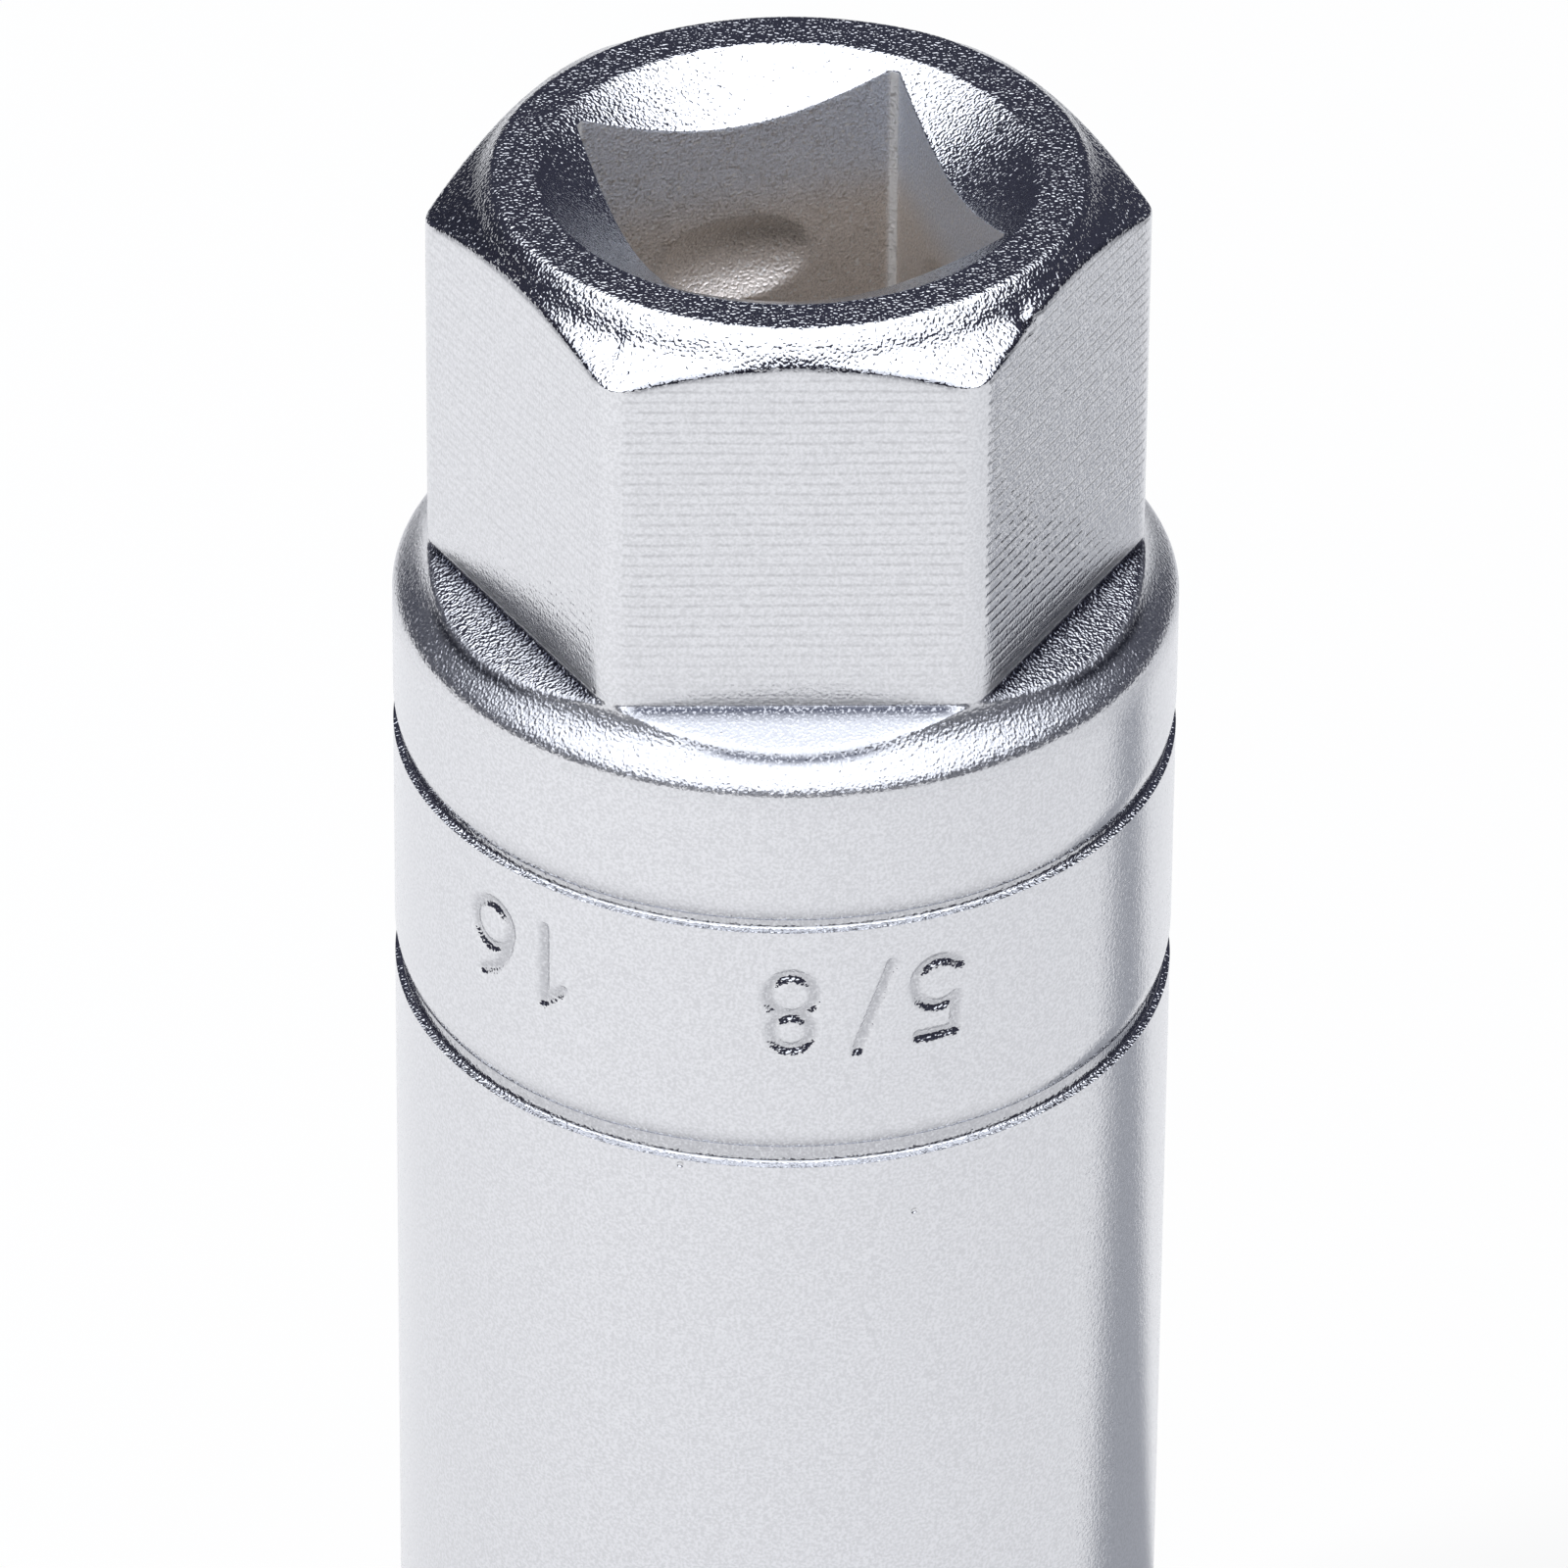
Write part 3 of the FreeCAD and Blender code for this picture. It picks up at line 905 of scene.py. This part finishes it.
@dataclass
class RubberSleeve:
    """The moulded sleeve that grips the plug's insulator: one turned section with soft edges."""

    foot: float
    head: float
    outer_radius: float
    columns: int = 160
    grip_radius: float = 5.1
    lead_in: float = 1.6
    top_lead_in: float = 0.8
    relief_pitch: float = 3.6
    relief_width: float = 1.6
    relief_depth: float = 0.6
    relief_run: float = 0.35

    def build(self) -> bpy.types.Object:
        """The sleeve's closed surface, up the outside and down through the grip.

        Formula: straight sides with rounded corners, with three grooves one pitch apart.

        Returns:
            The sleeve.
        """
        azimuth = np.linspace(0.0, 2 * math.pi, self.columns, endpoint=False)
        middle = (self.foot + self.head) / 2
        corners = [
            ProfileCorner(self.grip_radius + self.lead_in, self.foot, 0.25),
            ProfileCorner(self.outer_radius, self.foot, 0.4, 6),
            ProfileCorner(self.outer_radius, self.head, 0.4, 6),
            ProfileCorner(self.grip_radius + self.top_lead_in, self.head, 0.25),
            ProfileCorner(self.grip_radius, self.head - self.top_lead_in, 0.3),
        ]
        deep, half = self.grip_radius + self.relief_depth, self.relief_width / 2
        for place in (1, 0, -1):
            level = middle + place * self.relief_pitch
            corners += [
                ProfileCorner(self.grip_radius, level + half, 0.25),
                ProfileCorner(deep, level + half - self.relief_run, 0.3),
                ProfileCorner(deep, level - half + self.relief_run, 0.3),
                ProfileCorner(self.grip_radius, level - half, 0.25),
            ]
        corners.append(ProfileCorner(self.grip_radius, self.foot + self.lead_in, 0.3))
        section = rounded_run([corners[-1], *corners, corners[0]], self.columns)
        return turned_piece("rubber_sleeve", azimuth, section, {})

    def dress(self, piece: bpy.types.Object) -> None:
        """Gives the sleeve its rubber and ties it to the frame."""
        finish_and_tie(piece, MouldedRubber().material(), "insulator_sleeve")


class NodeBench:
    """A material's or world's node tree with short ways to add and join nodes."""

    def __init__(self, tree: bpy.types.NodeTree) -> None:
        """Empties the tree and keeps it."""
        self.tree = tree
        tree.nodes.clear()

    def add(self, kind: str, inputs: dict | None = None, **settings: object) -> bpy.types.Node:
        """A new node with its settings, and inputs set to values or joined to sockets.

        Args:
            kind: Blender's name for this kind of node.
            inputs: A value or another node's socket for each input's name or place.
            settings: Values for the node's own settings.

        Returns:
            The node.
        """
        node = self.tree.nodes.new(kind)
        for key, value in settings.items():
            setattr(node, key, value)
        for key, value in (inputs or {}).items():
            if isinstance(value, bpy.types.NodeSocket):
                self.tree.links.new(value, node.inputs[key])
            else:
                node.inputs[key].default_value = value
        return node

    def math(self, operation: str, *terms: object) -> bpy.types.NodeSocket:
        """The result of a Math node."""
        return self.add("ShaderNodeMath", dict(enumerate(terms)), operation=operation).outputs[0]


@dataclass(frozen=True)
class SatinChrome:
    """Chrome plate over fine blasting, with a cutter's lines on the flats and a dull inside."""

    plate: Colour = (0.775, 0.78, 0.795)
    dull: Colour = (0.895, 0.83, 0.765)
    dull_mouth: Colour = (0.88, 0.905, 0.955)
    # Painted highlight: a lighter colour for the square's corner flats and the bright specks.
    corner: Colour = (0.95, 0.94, 0.91)
    dark_speck: Colour = (0.3, 0.28, 0.26)
    # The dark bluish colour of the painted shade.
    painted_shade_colour: Colour = (0.04, 0.045, 0.07)
    mottle: float = 0.84
    mottle_size: float = 0.09
    dark_speck_size: float = 0.06
    painted_glint_size: float = 0.11
    shade_speck_size: float = 0.075
    mouth_heights: Span = (60.2, 62.2)
    roughness: float = 0.1
    soft_roughness: float = 0.31
    hollow_roughness: float = 0.52
    corner_roughness: float = 0.72
    speck_roughness: float = 0.32
    grain_size: float = 0.12
    grain_height: float = 0.022
    spark_size: float = 0.085
    spark_height: float = 0.029
    line_pitch: float = 0.335
    line_height: float = 0.0060
    line_shade: float = 0.80
    pit_spacing: float = 7.0
    pit_depth: float = 0.05

    def material(self) -> bpy.types.Material:
        """The finish as nodes: the body's attributes say where each part of it shows.

        Returns:
            The material.
        """
        made = bpy.data.materials.new("satin_chrome")
        made.use_nodes = True
        bench = NodeBench(made.node_tree)
        place = bench.add("ShaderNodeTexCoord").outputs["Object"]

        def noise(size: float, detail: float = 0.0) -> bpy.types.NodeSocket:
            """Soft noise whose lumps are this many millimetres apart."""
            return bench.add("ShaderNodeTexNoise", {
                "Vector": place, "Scale": 1 / (size * MM), "Detail": detail,
            }).outputs["Fac"]

        def ramp(value: bpy.types.NodeSocket, low: float, high: float, at_low: float,
                 at_high: float) -> bpy.types.NodeSocket:
            """A smooth step from one number to another.

            Args:
                value: What is stepped on.
                low: Value up to which the first number holds.
                high: Value from which the second number holds.
                at_low: The first number.
                at_high: The second number.

            Returns:
                The result.
            """
            return bench.add("ShaderNodeMapRange", {
                "Value": value, "From Min": low, "From Max": high, "To Min": at_low,
                "To Max": at_high,
            }, interpolation_type="SMOOTHSTEP").outputs[0]

        def mask(name: str) -> bpy.types.NodeSocket:
            """One of the body's own attributes."""
            return bench.add("ShaderNodeAttribute", attribute_name=name).outputs["Fac"]

        def blend(share: bpy.types.NodeSocket, first: object, second: object) -> object:
            """One colour flowing into another."""
            return bench.add("ShaderNodeMix", {"Factor": share, "A": first, "B": second},
                             data_type="RGBA").outputs["Result"]

        milled, hollow, blasted = mask("milled"), mask("hollow"), mask("blasted")
        # Bumps: grain, sparks, the cutter's broken lines and a few pits.
        grain = bench.math("MULTIPLY", noise(self.grain_size, 1.0), blasted)
        sparks = bench.math("POWER", noise(self.spark_size), 3.0)
        sparks = bench.math("MULTIPLY", sparks, bench.math("POWER", blasted, 1.6))
        tall = bench.add("ShaderNodeSeparateXYZ", {0: place}).outputs["Z"]
        turns = bench.math("MULTIPLY", tall, 2 * math.pi / (self.line_pitch * MM))
        phase = bench.math("ADD", turns, bench.math("MULTIPLY", noise(3.0, 1.0), 1.5))
        crest = bench.math("POWER", bench.math("MAXIMUM", bench.math("SINE", phase, 0.0), 0.0), 2.0)
        broken = bench.math("MULTIPLY", ramp(noise(0.3, 2.0), 0.3, 0.6, 0.3, 1.0), milled)
        lines = bench.math("MULTIPLY", crest, broken)
        cell = bench.add("ShaderNodeTexVoronoi", {
            "Vector": place, "Scale": 1 / (self.pit_spacing * MM),
        }).outputs["Distance"]
        pits = ramp(bench.math("MULTIPLY", cell, self.pit_spacing), 0.04, 0.12, -1.0, 0.0)
        bumps = None
        for height, size in ((lines, -self.line_height), (pits, self.pit_depth),
                             (grain, self.grain_height), (sparks, self.spark_height)):
            inputs = {"Height": height, "Strength": 1.0, "Distance": size * MM}
            if bumps is not None:
                inputs["Normal"] = bumps
            bumps = bench.add("ShaderNodeBump", inputs).outputs["Normal"]
        # Colours: the drive hole's, with dark specks, painted glints and a painted highlight on its
        # corner flats, and then the plate's, with painted shade.
        mouth = ramp(tall, self.mouth_heights[0] * MM, self.mouth_heights[1] * MM, 0.0, 1.0)
        inside = blend(mouth, (*self.dull, 1.0), (*self.dull_mouth, 1.0))
        specks = ramp(noise(self.dark_speck_size), 0.25, 0.6, 0.3, 0.0)
        inside = blend(specks, inside, (*self.dark_speck, 1.0))
        # Bright specks: painted glints in the drive hole.
        specks = ramp(noise(self.painted_glint_size), 0.7, 0.76, 0.0, 0.8)
        inside = blend(specks, inside, (*self.corner, 1.0))
        # Painted highlight on the drive square's narrow corner flats.
        inside = blend(mask("corner"), inside, (*self.corner, 1.0))
        outside = blend(ramp(noise(self.mottle_size, 1.0), 0.3, 0.7, 0.0, 1.0),
                        (*(self.mottle * part for part in self.plate), 1.0), (*self.plate, 1.0))
        # Painted shade along the cutter's lines, as strong as each flat's cut.
        outside = blend(bench.math("MULTIPLY", lines, 1 - self.line_shade), outside,
                        (0.0, 0.0, 0.0, 1.0))
        # Painted shade from the body's shade attribute, broken into specks, towards a dark bluish
        # colour.
        speckled_shade = ramp(noise(self.shade_speck_size), 0.55, 0.66, 1.0, 0.45)
        speckled_shade = bench.math("MULTIPLY", mask("painted_shade"), speckled_shade)
        outside = blend(speckled_shade, outside, (*self.painted_shade_colour, 1.0))
        colour = blend(hollow, outside, inside)
        # Roughness: soft round the shelves, dry in the drive hole and driest in its corners.
        rough = ramp(mask("softened"), 0.0, 1.0, self.roughness, self.soft_roughness)
        dry = ramp(noise(self.spark_size), 0.58, 0.68, self.hollow_roughness,
                   self.speck_roughness)
        rough = bench.math("MAXIMUM", rough, bench.math("MULTIPLY", hollow, dry))
        rough = bench.math("ADD", rough, bench.math(
            "MULTIPLY", mask("corner"), self.corner_roughness - self.hollow_roughness))
        shader = bench.add("ShaderNodeBsdfPrincipled", {
            "Base Color": colour, "Metallic": 1.0, "Roughness": rough, "Normal": bumps,
        })
        bench.add("ShaderNodeOutputMaterial", {"Surface": shader.outputs[0]})
        return made


@dataclass(frozen=True)
class MouldedRubber:
    """Matt black moulded rubber with a fine tooth and a faint bloom."""

    dark: Colour = (0.018, 0.018, 0.019)
    bloom: Colour = (0.045, 0.044, 0.043)
    roughness: float = 0.62

    def material(self) -> bpy.types.Material:
        """The finish as nodes: a dark colour clouded by the bloom, over a fine tooth.

        Returns:
            The material.
        """
        made = bpy.data.materials.new("sleeve_rubber")
        made.use_nodes = True
        bench = NodeBench(made.node_tree)
        place = bench.add("ShaderNodeTexCoord").outputs["Object"]
        cloud = bench.add("ShaderNodeTexNoise", {"Vector": place, "Scale": 260.0, "Detail": 4.0})
        tooth = bench.add("ShaderNodeTexNoise", {"Vector": place, "Scale": 5200.0, "Detail": 2.0})
        colour = bench.add("ShaderNodeMix", {
            "Factor": cloud.outputs["Fac"], "A": (*self.dark, 1.0), "B": (*self.bloom, 1.0),
        }, data_type="RGBA")
        bump = bench.add("ShaderNodeBump", {
            "Height": tooth.outputs["Fac"], "Strength": 0.6, "Distance": 0.00003,
        })
        shader = bench.add("ShaderNodeBsdfPrincipled", {
            "Base Color": colour.outputs["Result"], "Roughness": self.roughness,
            "Normal": bump.outputs["Normal"],
        })
        bench.add("ShaderNodeOutputMaterial", {"Surface": shader.outputs[0]})
        return made


@dataclass
class Studio:
    """Pale floor, one soft overhead box in a darker room, a soft side lamp and the camera."""

    camera_azimuth: float = -108.43
    camera_elevation: float = 33.67
    camera_distance: float = 0.426472
    camera_roll: float = 0.490
    aim_height: float = 0.04435
    lens: float = 339.44
    floor_radius: float = 0.42
    box_azimuth: float = -116.0
    box_elevation: float = 75.5
    box_edge: Span = (58.5, 51.0)
    box_light: Colour = (1.7, 1.76, 1.92)
    backdrop_top: Span = (-9.5, -5.5)
    room_light: Colour = (0.044, 0.046, 0.07)
    lamp_azimuth: float = -172.5
    lamp_elevation: float = 31.0
    lamp_distance: float = 1.6
    lamp_size: float = 0.28
    lamp_power: float = 68.0
    lamp_colour: Colour = (1.0, 0.985, 0.95)
    floor_colour: Colour = (0.385, 0.385, 0.388)
    floor_white: float = 0.9

    @staticmethod
    def direction(azimuth: float, elevation: float) -> Vector:
        """The unit vector at an azimuth and an elevation in degrees."""
        a, e = math.radians(azimuth), math.radians(elevation)
        return Vector((math.cos(e) * math.cos(a), math.cos(e) * math.sin(a), math.sin(e)))

    def set_camera(self) -> None:
        """The camera at the photograph's angle, rolled a little about its own view."""
        camera = bpy.data.cameras.new("camera")
        camera.lens, camera.sensor_width = self.lens, 36.0
        camera.clip_start, camera.clip_end = 0.01, 10.0
        back = self.direction(self.camera_azimuth, self.camera_elevation)
        right = Vector((0, 0, 1)).cross(back).normalized()
        frame_axes = Matrix((right, back.cross(right), back)).transposed().to_4x4()
        roll = Matrix.Rotation(math.radians(self.camera_roll), 4, "Z")
        place = Matrix.Translation(Vector((0, 0, self.aim_height)) + back * self.camera_distance)
        holder = bpy.data.objects.new("camera", camera)
        holder.matrix_world = place @ frame_axes @ roll
        bpy.context.scene.collection.objects.link(holder)
        bpy.context.scene.camera = holder

    def lay_floor(self) -> None:
        """A round pale floor, near white to the camera, that keeps the socket's shadow."""
        angle = np.linspace(0.0, 2 * math.pi, 96, endpoint=False)
        rim = np.stack([np.cos(angle), np.sin(angle), np.zeros_like(angle)], -1) * self.floor_radius
        mesh = bpy.data.meshes.new("floor")
        mesh.from_pydata(rim.tolist(), [], [tuple(range(96))])
        floor = bpy.data.objects.new("floor", mesh)
        floor.data.transform(Matrix.Translation((0, 0, -0.00005)))
        bpy.context.scene.collection.objects.link(floor)
        made = bpy.data.materials.new("floor")
        made.use_nodes = True
        bench = NodeBench(made.node_tree)
        seen = bench.add("ShaderNodeLightPath").outputs["Is Camera Ray"]
        matt = bench.add("ShaderNodeBsdfDiffuse", {"Color": (*self.floor_colour, 1.0)})
        white = bench.add("ShaderNodeEmission", {"Color": (1.0, 1.0, 1.0, 1.0), "Strength": 1.0})
        share = bench.math("MULTIPLY", seen, self.floor_white)
        mix = bench.add("ShaderNodeMixShader", {
            0: share, 1: matt.outputs[0], 2: white.outputs[0],
        })
        bench.add("ShaderNodeOutputMaterial", {"Surface": mix.outputs[0]})
        mesh.materials.append(made)

    def set_world(self) -> None:
        """A soft round light box overhead in a darker room, and white behind it all.

        In the metal the white backdrop fades out a few degrees below the horizon, where the
        floor's edge lies, and the room above it is dark.
        """
        world = bpy.data.worlds.new("studio")
        bpy.context.scene.world = world
        world.use_nodes = True
        bench = NodeBench(world.node_tree)
        ray = bench.add("ShaderNodeTexCoord").outputs["Generated"]
        box = self.direction(self.box_azimuth, self.box_elevation)
        towards = bench.add("ShaderNodeVectorMath", {0: ray, 1: box}, operation="DOT_PRODUCT")
        outer, inner = (math.cos(math.radians(edge)) for edge in self.box_edge)
        share = bench.add("ShaderNodeMapRange", {
            "Value": towards.outputs["Value"], "From Min": outer, "From Max": inner,
        }, interpolation_type="SMOOTHSTEP")
        room = bench.add("ShaderNodeMix", {
            "Factor": share.outputs[0], "A": (*self.room_light, 1.0), "B": (*self.box_light, 1.0),
        }, data_type="RGBA")
        path = bench.add("ShaderNodeLightPath").outputs
        mirrored = bench.math("ADD", path["Is Glossy Ray"], path["Is Transmission Ray"])
        full, none = (math.sin(math.radians(edge)) for edge in self.backdrop_top)
        low = bench.add("ShaderNodeMapRange", {
            "Value": bench.add("ShaderNodeSeparateXYZ", {0: ray}).outputs["Z"],
            "From Min": full, "From Max": none, "To Min": 1.0, "To Max": 0.0,
        }, interpolation_type="SMOOTHSTEP").outputs[0]
        shown = bench.add("ShaderNodeMix", {
            "Factor": bench.math("MAXIMUM", path["Is Camera Ray"],
                                 bench.math("MULTIPLY", mirrored, low)),
            "A": room.outputs["Result"], "B": (1.0, 1.0, 1.0, 1.0),
        }, data_type="RGBA")
        light = bench.add("ShaderNodeBackground", {"Color": shown.outputs["Result"]})
        bench.add("ShaderNodeOutputWorld", {"Surface": light.outputs[0]})

    def hang_lamp(self) -> None:
        """A soft side lamp, whose light falls on the floor and gives it the socket's shadow."""
        lamp = bpy.data.lights.new("side_lamp", "AREA")
        lamp.shape, lamp.size, lamp.energy = "DISK", self.lamp_size, self.lamp_power
        lamp.color = self.lamp_colour
        away = self.direction(self.lamp_azimuth, self.lamp_elevation)
        holder = bpy.data.objects.new("side_lamp", lamp)
        turn = away.to_track_quat("Z", "Y").to_matrix().to_4x4()
        holder.matrix_world = Matrix.Translation(away * self.lamp_distance) @ turn
        holder.visible_glossy = False
        bpy.context.scene.collection.objects.link(holder)

    def build(self) -> None:
        """Sets the whole studio up."""
        self.set_camera()
        self.lay_floor()
        self.set_world()
        self.hang_lamp()
        bpy.context.scene.view_settings.view_transform = "Standard"


def finish_and_tie(piece: bpy.types.Object, finish: bpy.types.Material, node: str) -> None:
    """Gives a piece its finish and ties it to the frame.

    Args:
        piece: The piece.
        finish: Its material.
        node: The frame's node that it stands for.
    """
    piece.data.materials.append(finish)
    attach(piece, "root")
    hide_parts(node)
    log.info("%s stands for %s", piece.name, node)


def main() -> None:
    """Builds the studio, the body and the sleeve."""
    logging.basicConfig(level=logging.INFO, format="%(name)s: %(message)s")
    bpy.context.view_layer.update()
    low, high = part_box("socket_body")
    body = SocketBody(length=high.z / MM, radius=high.x / MM)
    body.dress(body.build())
    low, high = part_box("insulator_sleeve")
    sleeve = RubberSleeve(foot=low.z / MM, head=high.z / MM, outer_radius=high.x / MM)
    sleeve.dress(sleeve.build())
    Studio().build()


if __name__ == "__main__":
    main()
